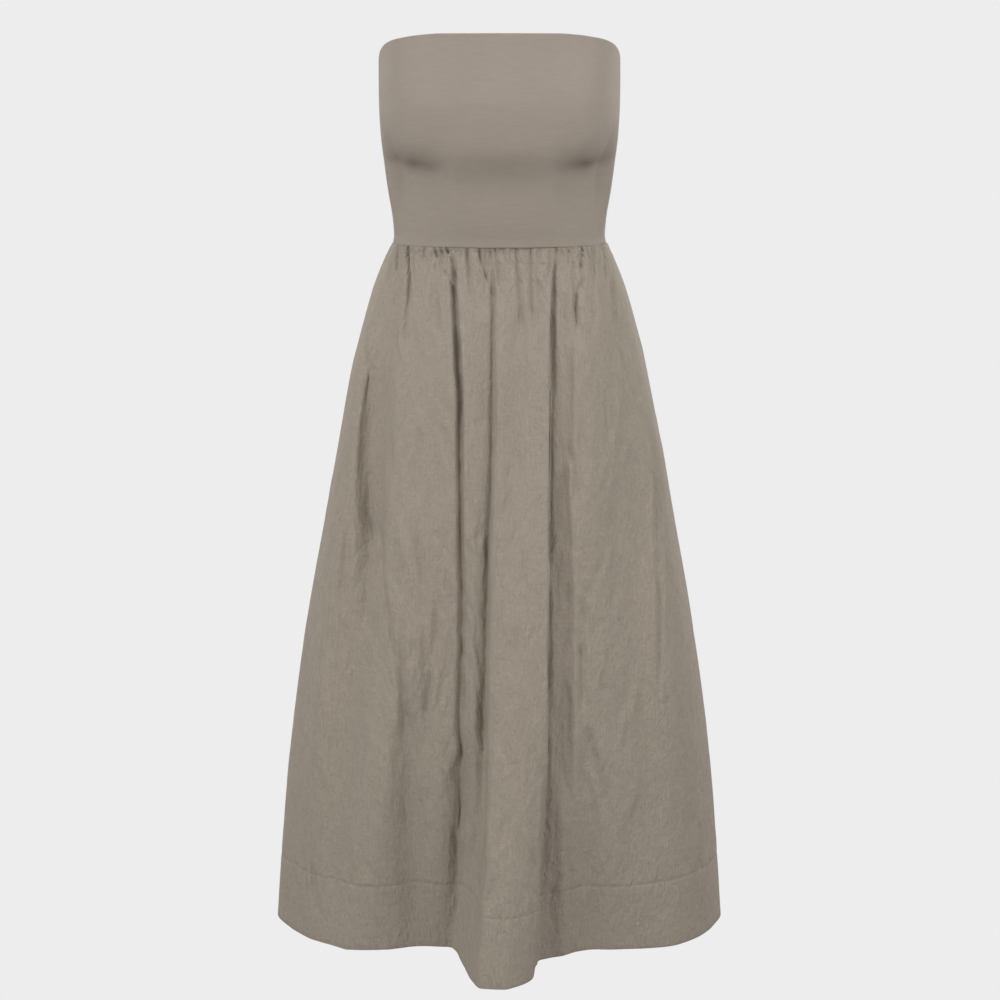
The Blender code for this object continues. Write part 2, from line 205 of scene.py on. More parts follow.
# Creases of the front panel, in millimetres. Each runs from a start to an end, bowed to the right in
# between. A positive depth is a trough and a negative one a ridge. A positive lean makes its left side
# the sharp one. Those that start at the skirt's top edge are the gathers.
# x start, start below the top edge, x end, end below the top edge, bow, depth, half width, lean
FRONT_CREASES = (
    (-124, 0, -128, 26, 0, 1.4, 2.4, 0.0),
    (-118, 0, -119, 8, 0, 1.8, 1.6, 0.0),
    (-106, 0, -106, 78, 1, 3.2, 1.9, 0.0),
    (-106, 50, -112, 120, 0, 3.0, 2.2, 0.2),
    (-98, 0, -100, 16, 0, 1.2, 2.2, 0.0),
    (-88, 0, -83, 14, 0, 2.2, 1.7, 0.0),
    (-77, 0, -62, 30, -1, 2.8, 1.9, 0.2),
    (-66, 24, -50, 64, 2, 2.4, 2.1, 0.3),
    (-70, 1, -61, 22, 0, 2.8, 1.7, 0.2),
    (-64, 0, -52, 26, 1, 3.4, 1.7, 0.3),
    (-56, 8, -49, 50, 0, 3.6, 2.0, 0.3),
    (-56, 0, -51, 20, 0, 2.4, 1.5, 0.0),
    (-53, 18, -46, 150, 0, 6.0, 2.8, -0.2),
    (-46, 90, -43, 230, 0, 4.2, 3.0, -0.3),
    (-44, 0, -43, 14, 0, 1.3, 1.8, 0.0),
    (-37, 0, -32, 66, 0, 1.7, 2.2, 0.0),
    (-28, 0, -27, 10, 0, 1.4, 1.5, 0.0),
    (-24, 0, -14, 38, -2, 2.4, 1.8, 0.2),
    (-18, 28, -6, 62, 1, 2.0, 2.0, 0.0),
    (-17, 0, -14, 12, 0, 2.0, 1.4, 0.0),
    (-12, 0, -8, 26, 0, 2.0, 1.7, 0.2),
    (-9, 12, -8, 140, 1, 2.3, 2.3, 0.2),
    (-6, 100, -6, 240, 0, 2.2, 2.8, -0.3),
    (-7, 0, -2, 12, 0, 2.2, 1.4, 0.0),
    (2, 0, 2, 24, 0, 1.5, 1.6, 0.0),
    (11, 0, 15, 13, 0, 2.2, 1.6, 0.0),
    (18, 0, 28, 112, 0, 1.8, 2.2, 0.0),
    (24, 2, 35, 8, 0, 1.7, 1.5, 0.0),
    (36, 0, 39, 106, -1, 1.9, 2.1, 0.0),
    (40, 20, 52, 96, 0, 2.4, 2.4, 0.0),
    (43, 34, 54, 74, 1, 1.6, 2.3, 0.0),
    (52, 0, 44, 12, 0, 2.0, 1.5, 0.0),
    (60, 0, 61, 10, 0, 2.2, 1.5, 0.0),
    (66, 0, 64, 22, 0, 3.2, 1.8, 0.0),
    (65, 12, 60, 80, -1, 5.0, 2.2, 0.4),
    (60, 60, 58, 190, 0, 5.8, 2.3, 0.4),
    (58, 150, 57, 400, 0, 3.6, 1.9, 0.4),
    (57, 360, 55, 560, 0, 3.2, 1.9, 0.4),
    (55, 530, 48, 770, 2, 2.4, 2.0, 0.4),
    (-228, 470, -250, 1000, 0, 6.0, 17.0, 0.0),
    (73, 2, 86, 14, 0, 2.1, 1.6, 0.0),
    (78, 0, 80, 8, 0, 1.5, 1.4, 0.0),
    (85, 0, 85, 24, 0, 1.9, 1.7, 0.0),
    (94, 10, 84, 26, 0, 2.0, 1.7, 0.0),
    (96, 0, 93, 34, 0, 2.6, 1.7, 0.0),
    (99, 0, 103, 8, 0, 2.2, 1.4, 0.0),
    (100, 4, 107, 26, 0, 2.4, 1.7, 0.0),
    (113, 0, 114, 15, 0, 1.6, 1.7, 0.0),
    (121, 0, 126, 26, 0, 1.4, 2.2, 0.0),
    (96, 40, 86, 66, -1, 3.4, 2.4, 0.3),
    (85, 60, 90, 102, 0, 2.2, 2.8, 0.3),
    (90, 92, 89, 140, 0, 1.4, 4.5, 0.0),
    (-126, 22, -146, 112, 2, 0.8, 2.4, 0.3),
    (-144, 90, -162, 240, -3, 1.0, 2.8, 0.4),
    (-160, 220, -161, 326, -1, 2.5, 3.9, 0.4),
    (-163, 306, -146, 356, 2, 4.2, 3.6, 0.4),
    (-148, 346, -130, 440, -2, 4.2, 3.6, 0.3),
    (-131, 428, -112, 528, 2, 3.8, 3.3, 0.3),
    (-153, 110, -157, 430, 0, 8.0, 13.0, 0.5),
    (-44, 130, -43, 400, 0, 3.8, 3.6, -0.4),
    (84, 8, 89, 116, 0, 2.6, 2.4, 0.2),
    (-12, 290, -18, 640, 0, 1.4, 3.0, -0.4),
    (-18, 500, -20, 760, 0, 3.6, 4.0, -0.4),
    (-40, 480, -29, 800, 0, 2.0, 9.0, -0.2),
    (-25, 560, -29, 880, 0, 2.6, 14.0, 0.0),
    (82, 110, 75, 300, 0, 3.4, 9.0, -0.6),
    (74, 240, 80, 430, 0, 4.8, 9.0, -0.6),
    (100, 540, 112, 900, 0, 6.0, 12.0, 0.0),
    (80, 350, 81, 690, 0, 5.2, 9.0, -0.6),
    (94, 430, 95, 640, 0, 1.6, 8.0, 0.0),
    (50, 560, 46, 1100, 0, 3.0, 3.0, 0.3),
    (70, 580, 74, 1100, 0, -3.6, 9.0, 0.0),
    (-152, 250, -144, 520, 0, 5.0, 12.0, 0.2),
    (-114, 430, -111, 600, 0, 4.0, 4.0, 0.2),
    (-89, 430, -83, 610, 1, 3.4, 4.4, 0.2),
    (-106, 500, -98, 900, 0, 11.0, 17.0, 0.0),
    (-184, 420, -191, 690, 0, 3.0, 18.0, 0.2),
    (24, 60, 25, 196, 0, 2.8, 7.0, 0.0),
    (-19, 80, -18, 230, 0, 2.6, 8.0, 0.0),
    (30, 62, 18, 178, 0, -1.8, 4.0, 0.0),
    (-74, 30, -80, 150, 0, 2.0, 5.0, 0.0),
    (-33, 40, -31, 170, 0, 1.8, 5.0, 0.0),
    (128, 38, 139, 118, 0, 1.8, 2.2, 0.3),
    (138, 106, 180, 236, -3, 1.8, 2.4, 0.3),
    (180, 220, 186, 400, 2, 4.6, 3.3, 0.4),
    (186, 380, 188, 530, 0, 3.8, 3.3, 0.4),
    (150, 60, 158, 470, 0, 3.0, 22.0, 0.0),
    (-143, 324, -140, 372, 0, 2.7, 3.6, 0.0),
    (-135, 388, -130, 440, 0, 2.9, 3.6, 0.0),
    (-178, 334, -181, 440, -3, 2.2, 5.0, 0.2),
    (-160, 402, -148, 462, -2, 3.2, 3.6, 0.0),
    (-98, 324, -86, 402, 1, 2.7, 3.6, 0.0),
    (-73, 408, -80, 490, 1, 3.6, 2.8, 0.2),
    (-79, 478, -92, 564, 1, 3.6, 2.8, 0.2),
    (-38, 335, -26, 375, 1, 1.7, 2.7, 0.0),
    (-36, 372, -22, 400, 1, 1.7, 2.7, 0.0),
    (-39, 402, -24, 440, 1, 1.7, 2.7, 0.0),
    (-33, 440, -20, 472, 1, 1.7, 2.7, 0.0),
    (-38, 470, -25, 508, 1, 1.7, 2.7, 0.0),
    (-65, 575, -50, 642, 3, 1.9, 2.8, 0.0),
    (-58, 576, -46, 634, 2, 1.9, 2.7, 0.0),
    (-70, 600, -52, 657, 3, 1.9, 2.8, 0.0),
    (67, 214, 77, 280, 1, 2.1, 3.3, 0.3),
    (77, 220, 87, 302, 3, 3.8, 3.3, 0.3),
    (82, 530, 76, 580, 0, 2.0, 2.8, 0.3),
    (93, 450, 95, 540, 1, 2.9, 3.6, 0.3),
    (103, 552, 112, 606, 0, 2.9, 3.9, 0.0),
    (112, 598, 122, 662, 3, 2.9, 3.9, 0.0),
    (-230, 730, -219, 810, 0, 4.2, 4.2, 0.3),
)
# Creases of the back panel, which nothing shows, in the same way
BACK_CREASES = (
    (-122, 0, -129, 30, 0, 1.5, 2.2, 0.0),
    (-115, 0, -120, 12, 0, 2.0, 1.6, 0.0),
    (-108, 0, -117, 70, 1, 2.8, 1.9, 0.0),
    (-101, 0, -103, 14, 0, 1.6, 1.6, 0.0),
    (-94, 0, -104, 52, -1, 2.9, 1.8, 0.2),
    (-90, 2, -84, 16, 0, 1.9, 1.5, 0.0),
    (-82, 0, -86, 28, 0, 2.4, 1.7, 0.0),
    (-75, 0, -76, 10, 0, 1.7, 1.4, 0.0),
    (-70, 0, -80, 64, 0, 2.8, 1.9, 0.2),
    (-63, 0, -62, 18, 0, 2.1, 1.6, 0.0),
    (-57, 0, -66, 44, 1, 2.6, 1.8, 0.0),
    (-50, 0, -48, 12, 0, 1.6, 1.5, 0.0),
    (-45, 0, -54, 80, 0, 2.9, 2.0, 0.2),
    (-38, 0, -37, 20, 0, 2.2, 1.6, 0.0),
    (-31, 0, -39, 56, -1, 2.5, 1.8, 0.0),
    (-26, 0, -23, 10, 0, 1.8, 1.4, 0.0),
    (-19, 0, -27, 34, 0, 3.2, 1.8, 0.2),
    (-13, 0, -10, 22, 0, 2.0, 1.6, 0.0),
    (-7, 0, -9, 46, 0, 2.6, 1.8, 0.0),
    (-1, 0, 1, 14, 0, 1.9, 1.5, 0.0),
    (6, 0, 5, 58, 1, 2.4, 1.9, 0.0),
    (12, 0, 10, 16, 0, 1.8, 1.5, 0.0),
    (18, 0, 18, 40, 0, 3.3, 1.8, -0.2),
    (24, 0, 29, 18, 0, 2.0, 1.6, 0.0),
    (31, 0, 36, 62, 0, 2.5, 1.9, 0.0),
    (38, 0, 36, 10, 0, 1.6, 1.4, 0.0),
    (44, 0, 51, 48, 1, 2.7, 1.8, 0.0),
    (50, 0, 49, 14, 0, 2.0, 1.5, 0.0),
    (57, 0, 68, 76, -1, 2.8, 2.0, -0.2),
    (64, 0, 62, 20, 0, 1.9, 1.6, 0.0),
    (71, 0, 79, 36, 0, 2.5, 1.8, 0.0),
    (77, 0, 78, 10, 0, 1.8, 1.4, 0.0),
    (83, 0, 95, 66, 1, 2.8, 1.9, 0.0),
    (90, 0, 88, 18, 0, 2.0, 1.6, 0.0),
    (97, 0, 108, 42, 0, 2.6, 1.8, -0.2),
    (103, 0, 104, 12, 0, 1.7, 1.5, 0.0),
    (110, 0, 121, 58, -1, 2.4, 1.9, 0.0),
    (117, 0, 120, 16, 0, 1.8, 1.6, 0.0),
    (123, 0, 130, 28, 0, 1.5, 2.1, 0.0),
    (-24, 24, -40, 218, 1, 4.0, 3.4, 0.3),
    (-40, 196, -48, 470, -1, 4.4, 3.8, 0.3),
    (-48, 440, -46, 720, 1, 3.2, 4.2, 0.3),
    (18, 30, 18, 216, -1, 4.0, 3.2, -0.3),
    (18, 200, 23, 450, 1, 4.2, 3.6, -0.3),
    (22, 430, 28, 700, 0, 3.4, 4.0, -0.3),
    (-102, 40, -138, 226, 3, 3.2, 4.2, 0.2),
    (-138, 210, -168, 470, 0, 4.2, 6.0, 0.2),
    (-172, 450, -198, 730, -2, 3.4, 7.0, 0.0),
    (100, 34, 121, 214, -3, 3.2, 4.0, -0.2),
    (122, 200, 146, 450, 1, 4.2, 5.6, -0.2),
    (146, 440, 160, 700, 0, 3.2, 6.6, 0.0),
    (-68, 70, -76, 190, 2, 2.2, 3.4, 0.0),
    (-79, 250, -86, 380, -2, 2.0, 3.6, 0.2),
    (-104, 300, -112, 420, 2, 2.6, 3.6, 0.0),
    (-98, 400, -116, 520, 1, 2.4, 3.4, 0.2),
    (-124, 480, -130, 590, -2, 2.6, 3.8, 0.0),
    (-62, 420, -68, 520, 1, 2.2, 3.2, 0.0),
    (-14, 260, -20, 360, 1, 2.0, 3.4, 0.0),
    (-8, 380, -2, 470, -1, 2.2, 3.4, 0.0),
    (-26, 500, -16, 600, 2, 2.2, 3.6, 0.2),
    (44, 130, 52, 250, 1, 2.0, 3.4, 0.0),
    (58, 260, 64, 360, -2, 2.4, 3.6, 0.0),
    (48, 350, 58, 460, 2, 2.6, 3.4, 0.2),
    (74, 390, 84, 500, 1, 2.6, 3.6, 0.0),
    (66, 500, 60, 610, -1, 2.4, 3.4, 0.0),
    (94, 420, 104, 530, 2, 2.8, 3.8, 0.2),
    (112, 540, 118, 650, -1, 2.4, 3.8, 0.0),
    (176, 330, 190, 470, 2, 2.2, 4.0, 0.0),
    (-178, 300, -190, 430, -2, 2.2, 4.0, 0.0),
)
# How a crease's depth comes in from its start and goes out towards its end, as shares of its length.
CREASE_FADE_IN = 0.18
CREASE_FADE_OUT = 0.36
# The cloth beside a trough swells by this share of its depth, this many times as wide.
CREASE_SWELL = 0.36
CREASE_SWELL_WIDTH = 2.4
# A crease is wider at its end than at its start by this share.
CREASE_WIDENING = 0.6
# A gather reaches its depth this far under the line where the gathers start.
GATHER_RISE = 0.0045
# Gathers start this many times as deep and as wide as the table says, where the thread pinches them.
GATHER_DEPTH = 2.4
GATHER_WIDTH = 1.05
# Shorter ones than this are shallower, and go out over this share of their length.
GATHER_FULL_LENGTH = 0.032
GATHER_FADE_OUT = 0.9
# The other creases are this many times as deep as the table says.
CREASE_DEPTH = 1.35

# The skirt's top edge stands behind the knit's, set in by the tuck, and comes out over the tuck's length,
# which ends this far under the top edge.
SKIRT_TUCK = 0.0026
SKIRT_TUCK_LENGTH = 0.0026
SKIRT_TUCK_END = 0.0056
SKIRT_TOP_ABOVE_SEAM = 0.0040
# The gathers start this far under the top of the skirt.
GATHERS_TOP = 0.0020
# It puffs out under the seam, and the knit rolls in towards it.
SKIRT_PUFF = 0.0001
SKIRT_PUFF_LENGTH = 0.016
KNIT_ROLL = 0.0005
KNIT_ROLL_SHARE = 0.018

# Small uneven creases all over a woven panel, drawn from a fixed seed. Lengths and widths are in metres.
CRINKLE_SEED = 41
CRINKLES = 820
CRINKLE_LENGTH = (0.014, 0.080)
CRINKLE_HALF_WIDTH = (0.0026, 0.0065)
CRINKLE_DEPTH = (0.00040, 0.00360)
# Deep ones are rare: a random share to this power picks the depth.
CRINKLE_DEPTH_POWER = 1.8
# Towards the outline the crinkles flatten, from this share of the half width, and lose this much.
CRINKLE_CALM_FROM = 0.90
CRINKLE_CALM = 0.8
# How far a crinkle leans to either side for each metre down
CRINKLE_SLANT = 0.42
# The folded hem is stiffer, so this share of them is lost on it.
CRINKLE_HEM_LOSS = 0.75
# No crinkle's middle is higher than this below the skirt's top edge. Crinkles and swells fade in over
# the next distance.
CRINKLES_FROM = 0.05
CRINKLES_FULL = 0.060
# Small pinches between the gathers: how many, and their lengths, half widths, depths and lean
PINCHES = 260
PINCH_LENGTH = (0.012, 0.090)
PINCH_HALF_WIDTH = (0.0014, 0.0024)
PINCH_DEPTH = (0.0007, 0.0023)
PINCH_SLANT = 0.22
# A pinch goes out over this share of its length.
PINCH_FADE_OUT = 0.7
# A sway of the folds from side to side, where they don't run straight from knee to hem
# gather, half width in gathers, distance below the skirt's top edge, half length, shift to the right
SWAYS = (
    (10.9, 2.8, 0.690, 0.150, 0.0075),
)
# Low swells of the cloth between the creases
# wavelength across, wavelength down, height
SWELLS = (
    (0.030, 0.110, 0.00140),
    (0.014, 0.045, 0.00080),
)

HEM_STITCH_PITCH = 0.0032
HEM_STITCH_LENGTH = 0.0022
HEM_STITCH_RADIUS = 0.00030
HEM_STITCH_SIDES = 6
# The stitches pull the cloth in by this much, over this far on each side.
HEM_DENT = 0.0006
HEM_DENT_REACH = 0.0022
# place along the stitch, thickness, height above the cloth in thread radii
HEM_STITCH_SHAPE = (
    (-0.50, 0.5, -1.0),
    (-0.30, 1.0, 0.3),
    (0.30, 1.0, 0.3),
    (0.50, 0.5, -1.0),
)

# Loops of the knit, yarns of the weave and plies of the thread, and how high each stands
KNIT_WALE = 0.0011
KNIT_COURSE = 0.0008
KNIT_RELIEF = 0.00036
YARN_PITCH = 0.0007
THREAD_PLY = 0.0004
THREAD_RELIEF = 0.00005
WOVEN_RELIEF = 0.0015
# Tiny pleats between the gathers end this far below the skirt's top edge, and fade with this power.
PLEATS_LENGTH = 0.090
PLEATS_FADE_POWER = 2.2

# The camera is level with the top edge and looks down at the dress. Its angles are in degrees.
CAMERA_PLACE = (0.0006, -3.0, 0.0)
CAMERA_PITCH = 10.408
CAMERA_FIELD = 22.252
FLOOR_Z = -2.4
FLOOR_HALF_WIDTH = 40.0

# The light of the sky overhead and at the horizon, the even pale colour that the camera sees all round
# the dress, and the floor's own colour
SKY_ABOVE = 0.52
SKY_LEVEL = 0.41
BACKDROP_COLOUR = (0.847, 0.847, 0.847)
FLOOR_COLOUR = (0.35, 0.34, 0.33)
# place, side, power in watts
SOFTBOXES = (
    ("left_softbox", (-1.95, -2.35, 0.50), 0.9, 43.0),
    ("right_softbox", (2.0, -2.3, 0.40), 1.1, 26.0),
    ("left_near_softbox", (-1.35, -0.5, 0.5), 0.6, 5.0),
    ("right_near_softbox", (1.35, -0.5, 0.5), 0.6, 8.5),
    ("back_left_softbox", (-1.5, 2.6, 0.7), 0.9, 34.0),
    ("back_right_softbox", (1.5, 2.6, 0.7), 0.9, 44.0),
)
LIGHT_AIM = (0.0, 0.0, -0.45)

KNIT_COLOUR = (0.382, 0.329, 0.278)
WOVEN_COLOUR = (0.324, 0.280, 0.230)
THREAD_COLOUR = (0.250, 0.215, 0.180)

# Flat sizes of the cut panels, without the turned-up hem
BODICE_CUT = {"bodice_front": (0.410, 0.250), "bodice_back": (0.380, 0.210)}
SKIRT_CUT_TOP = 0.600
SKIRT_CUT_HEM = 0.900


def smooth(at, values, where):
    """Values on a smooth curve through a table, which turns only at the table's own highs and lows."""
    at = np.asarray(at, float)
    values = np.asarray(values, float)
    where = np.clip(where, at[0], at[-1])
    step = np.diff(at)
    rise = np.diff(values, axis=0) / step.reshape((-1,) + (1,) * (values.ndim - 1))
    slope = np.zeros_like(values)
    same_way = rise[:-1] * rise[1:] > 0
    mean = 2 * rise[:-1] * rise[1:] / np.where(same_way, rise[:-1] + rise[1:], 1)
    slope[1:-1] = np.where(same_way, mean, 0)
    slope[0] = rise[0]
    slope[-1] = rise[-1]
    span = np.clip(np.searchsorted(at, where, side="right") - 1, 0, len(step) - 1)
    shape = np.shape(where) + (1,) * (values.ndim - 1)
    width = step[span].reshape(shape)
    t = ((where - at[span]) / step[span]).reshape(shape)
    rest = 1 - t
    return (
        values[span] * (1 + 2 * t) * rest**2
        + values[span + 1] * (3 - 2 * t) * t**2
        + width * (slope[span] * t * rest**2 - slope[span + 1] * rest * t**2)
    )


def ease(t):
    """0 below 0, 1 above 1, and a smooth step between."""
    t = np.clip(t, 0, 1)
    return t * t * (3 - 2 * t)


def soften(values, times):
    """Values on a grid, each blended with its neighbours some number of times."""
    for _ in range(times):
        padded = np.pad(values, 1, mode="edge")
        values = (
            4 * values + padded[:-2, 1:-1] + padded[2:, 1:-1] + padded[1:-1, :-2] + padded[1:-1, 2:]
        ) / 8
    return values


def figure_at(z):
    """Half width, front depth and back depth of the plain figure at each height."""
    table = np.array(FIGURE[::-1])
    return np.moveaxis(smooth(table[:, 0], table[:, 1:], z), -1, 0)


def bust_at(x, z):
    """How far the knit stands out in front of the plain figure."""
    table = np.array(BUST[::-1])
    sides, between = np.moveaxis(smooth(table[:, 0], table[:, 1:], z), -1, 0)
    from_full = np.abs(x) - BUST_FULL_X
    beyond = np.clip(from_full / BUST_WIDTH, 0, 1)
    inside = np.clip(-from_full / BUST_INNER_WIDTH, 0, 1)
    drop = BUST_DROP * np.sqrt(np.clip(1 - inside**2, BUST_LEAST_DROP, 1))
    under = np.clip((BUST_FULL_Z - z) / drop, 0, 1)
    side = sides * np.clip(1 - beyond**2 - under**2, 0, 1) ** BUST_ROUNDNESS
    laid = ease((np.abs(x) - BUST_SPAN_X) / (BUST_LAID_X - BUST_SPAN_X))
    return soften(between + (side - between) * laid, BUST_SOFTENING)


def bust_hollow_at(x, z, half_width):
    """How far the knit draws in under the bust."""
    depth, deepest, inside, outside = BUST_HOLLOW
    beyond = np.clip((np.abs(x) - BUST_FULL_X) / BUST_WIDTH, 0, None)
    under = np.clip((BUST_FULL_Z - z) / BUST_DROP, 0, None)
    offset = np.hypot(beyond, under) - deepest
    offset /= np.where(offset < 0, inside, outside)
    laid = ease((np.abs(x) - BUST_SPAN_X) / (BUST_LAID_X - BUST_SPAN_X))
    low = ease((BUST_HOLLOW_TOP_Z - z) / (BUST_HOLLOW_TOP_Z - BUST_HOLLOW_FULL_Z))
    clear = 1 - ease((np.abs(x) / half_width - BUST_HOLLOW_OUTLINE) / (1 - BUST_HOLLOW_OUTLINE))
    return depth * np.exp(-offset**2) * laid * low * clear


def bodice_rings():
    """Points of the bodice's outside, by row from the top edge down and by column round the dress."""
    angle = np.linspace(-math.pi / 2, 1.5 * math.pi, 2 * BODICE_COLUMNS, endpoint=False)
    table = np.array(TOP_EDGE)
    from_front = np.abs((np.degrees(angle) + 180) % 360 - 180)
    top = -smooth(table[:, 0], table[:, 1], from_front) - KNIT_WALL / 2
    down = np.linspace(0, 1, BODICE_ROWS + 1)[:, None]
    bottom = WAIST_SEAM_Z + (SEAM_GAP + KNIT_WALL) / 2
    z = top + (bottom - top) * down
    half_width, front_depth, back_depth = figure_at(z)
    x = half_width * np.sin(angle)
    depth = np.cos(angle)
    y = -np.where(depth > 0, front_depth, back_depth) * depth
    y -= bust_at(x, z) * np.clip(depth, 0, 1) ** BUST_FADE_POWER
    points = np.stack([x, y, z], axis=-1)
    drawn_in = KNIT_ROLL * ease(1 - (1 - down) / KNIT_ROLL_SHARE)
    drawn_in = drawn_in + np.where(depth > 0, bust_hollow_at(x, z, half_width), 0)
    return points - outward(points) * drawn_in[..., None]


def fold_levels(gather):
    """Places round the dress at the waist, hip, knee and hem, as shares of the figure's widths."""
    front = np.array(FRONT_FOLDS)
    back = np.array(BACK_FOLDS)
    waist_width, _, _ = figure_at(WAIST_SEAM_Z)
    front_angle = np.arcsin(front[:, 1] / waist_width)
    back_angle = math.pi + np.arcsin(back[:, 1] / waist_width)
    quarter = math.pi / 2
    count = np.concatenate([[0], front[:, 0], [GATHERS], GATHERS + back[:, 0], [2 * GATHERS]])
    angle = np.concatenate([[-quarter], front_angle, [quarter], back_angle, [3 * quarter]])
    angle = smooth(count, angle, gather)
    levels = [np.stack([np.sin(angle), -np.cos(angle)], axis=-1)]
    for column, z in ((2, HIP_Z), (4, KNEE_Z), (6, HEM_Z)):
        half_width, front_depth, back_depth = figure_at(z)
        front_share = front[:, column:column + 2] / (half_width, -front_depth)
        back_share = back[:, column:column + 2] / (-half_width, back_depth)
        share = np.concatenate([[(-1, 0)], front_share, [(1, 0)], back_share])
        # The ring is carried on past both ends, so that it closes smoothly at the left seam.
        share = np.concatenate([share[-2:], share, share[:3]])
        ring_count = np.concatenate([count[-3:-1] - 2 * GATHERS, count, count[1:3] + 2 * GATHERS])
        levels.append(smooth(ring_count, share, gather))
    return np.array(levels)


def outward(points):
    """Normals of rings of points, longer at a corner, so that a wall keeps its thickness round it."""
    ahead = np.roll(points, -1, axis=1) - points
    down = np.gradient(points, axis=0)
    normal = np.cross(down, ahead)
    normal /= np.linalg.norm(normal, axis=-1, keepdims=True)
    before = np.roll(normal, 1, axis=1)
    straightness = 1 + np.sum(normal * before, axis=-1, keepdims=True)
    return (normal + before) / np.clip(straightness, SHARPEST_CORNER, None)


def skirt_row_places():
    """Distances of the rows below the skirt's top edge."""
    starts = [start for start, _ in SKIRT_ROW_STRETCHES] + [SKIRT_LENGTH]
    places = []
    for (start, spacing), end in zip(SKIRT_ROW_STRETCHES, starts[1:]):
        count = round((end - start) / spacing)
        places.append(np.linspace(start, end, count, endpoint=False))
    return np.concatenate([*places, [SKIRT_LENGTH]])


def crease_profile(offset):
    """The shape across a trough: 1 in the middle, and a low swell on each side."""
    return np.exp(-offset**2) - CREASE_SWELL * np.exp(-(offset / CREASE_SWELL_WIDTH) ** 2)


def crease_relief(across, below, table):
    """How far out the creases of a table move each point of a panel."""
    relief = np.zeros_like(across)
    for *sizes, lean in table:
        x_start, start, x_end, end, bow, depth, half_width = np.array(sizes) / 1000
        t = np.clip((below - start) / (end - start), 0, 1)
        offset = across - (x_start + (x_end - x_start) * t + 4 * bow * t * (1 - t))
        width = half_width * (1 + CREASE_WIDENING * t) * np.where(offset < 0, 1 - lean, 1 + lean)
        if start == 0:
            share = min(1, (end - start) / GATHER_FULL_LENGTH)
            fade_in = GATHER_DEPTH * share * ease((below - GATHERS_TOP) / GATHER_RISE)
            fade_out = CREASE_FADE_OUT if share == 1 else GATHER_FADE_OUT
            width = width * GATHER_WIDTH
        else:
            fade_in = CREASE_DEPTH * ease(t / CREASE_FADE_IN)
            fade_out = CREASE_FADE_OUT
        relief -= depth * fade_in * ease((1 - t) / fade_out) * crease_profile(offset / width)
    return relief


def crinkle_relief(across, below, random):
    """Small creases near to upright and low swells, which give the cloth its crumpled look."""
    relief = np.zeros_like(across)
    low, high = across.min(), across.max()
    for _ in range(CRINKLES):
        middle_x = random.uniform(low, high)
        slant = random.uniform(-CRINKLE_SLANT, CRINKLE_SLANT)
        middle = random.uniform(CRINKLES_FROM, SKIRT_LENGTH)
        length = random.uniform(*CRINKLE_LENGTH)
        half_width = random.uniform(*CRINKLE_HALF_WIDTH)
        rarity = random.uniform() ** CRINKLE_DEPTH_POWER
        # Two in three are troughs.
        depth = np.interp(rarity, (0, 1), CRINKLE_DEPTH) * random.choice((1, 1, -1))
        t = (below - middle) / length
        near = np.clip(1 - 4 * t**2, 0, 1) ** 2
        offset = (across - middle_x - slant * (below - middle)) / half_width
        relief -= depth * near * crease_profile(offset)
    for wide, tall, height in SWELLS:
        columns = math.ceil((high - low) / wide) + 3
        rows = math.ceil(SKIRT_LENGTH / tall) + 3
        knots = random.uniform(-1, 1, (rows, columns))
        u = (across - low) / wide
        v = below / tall
        column = u.astype(int)
        row = v.astype(int)
        s = ease(u - column)
        t = ease(v - row)
        upper = knots[row, column] * (1 - s) + knots[row, column + 1] * s
        lower = knots[row + 1, column] * (1 - s) + knots[row + 1, column + 1] * s
        relief += height * (upper * (1 - t) + lower * t)
    relief *= ease(below / CRINKLES_FULL)
    for _ in range(PINCHES):
        start = random.uniform(low, high)
        slant = random.uniform(-PINCH_SLANT, PINCH_SLANT)
        length = random.uniform(*PINCH_LENGTH)
        half_width = random.uniform(*PINCH_HALF_WIDTH)
        depth = random.uniform(*PINCH_DEPTH)
        t = below / length
        near = ease((below - GATHERS_TOP) / GATHER_RISE) * ease((1 - t) / PINCH_FADE_OUT)
        offset = (across - start - slant * below) / (half_width * (1 + CREASE_WIDENING * t))
        relief -= depth * near * crease_profile(offset)
    return relief


def arcs(points):
    """Distance along each row of a grid from its first column."""
    steps = np.linalg.norm(np.diff(points, axis=1), axis=-1)
    return np.concatenate([np.zeros((len(points), 1)), np.cumsum(steps, axis=1)], axis=1)


def cut_places(points, down, top_width, bottom_width, length):
    """Places on the flat panel that was cut, in metres from the middle of its top edge.

    down is how far each row of points is from the top edge, from 0 to 1.
    """
    along = arcs(points)
    down = down[:, None] * np.ones_like(along)
    width = top_width + (bottom_width - top_width) * down
    return np.stack([(along / along[:, -1:] - 0.5) * width, -length * down], axis=-1)


def skirt_columns():
    """Places of the columns, in gathers, spread evenly over the cloth at the waist, hip and hem."""
    places = PLACES_PER_GATHER * GATHERS
    gather = np.linspace(0, 2 * GATHERS, 2 * places + 1)
    levels = fold_levels(gather)
    along = np.zeros_like(gather)
    for level, z in zip(levels, (WAIST_SEAM_Z, HIP_Z, KNEE_Z, HEM_Z)):
        half_width, front_depth, back_depth = figure_at(z)
        depth = level[:, 1] * np.where(level[:, 1] < 0, front_depth, back_depth)
        steps = np.hypot(np.diff(level[:, 0] * half_width), np.diff(depth))
        for first in (0, places):
            part = np.cumsum(steps[first:first + places])
            along[first + 1:first + places + 1] += part / part[-1] / len(levels)
    along[places + 1:] += 1
    return np.interp(np.arange(2 * PANEL_COLUMNS) / PANEL_COLUMNS, along, gather)


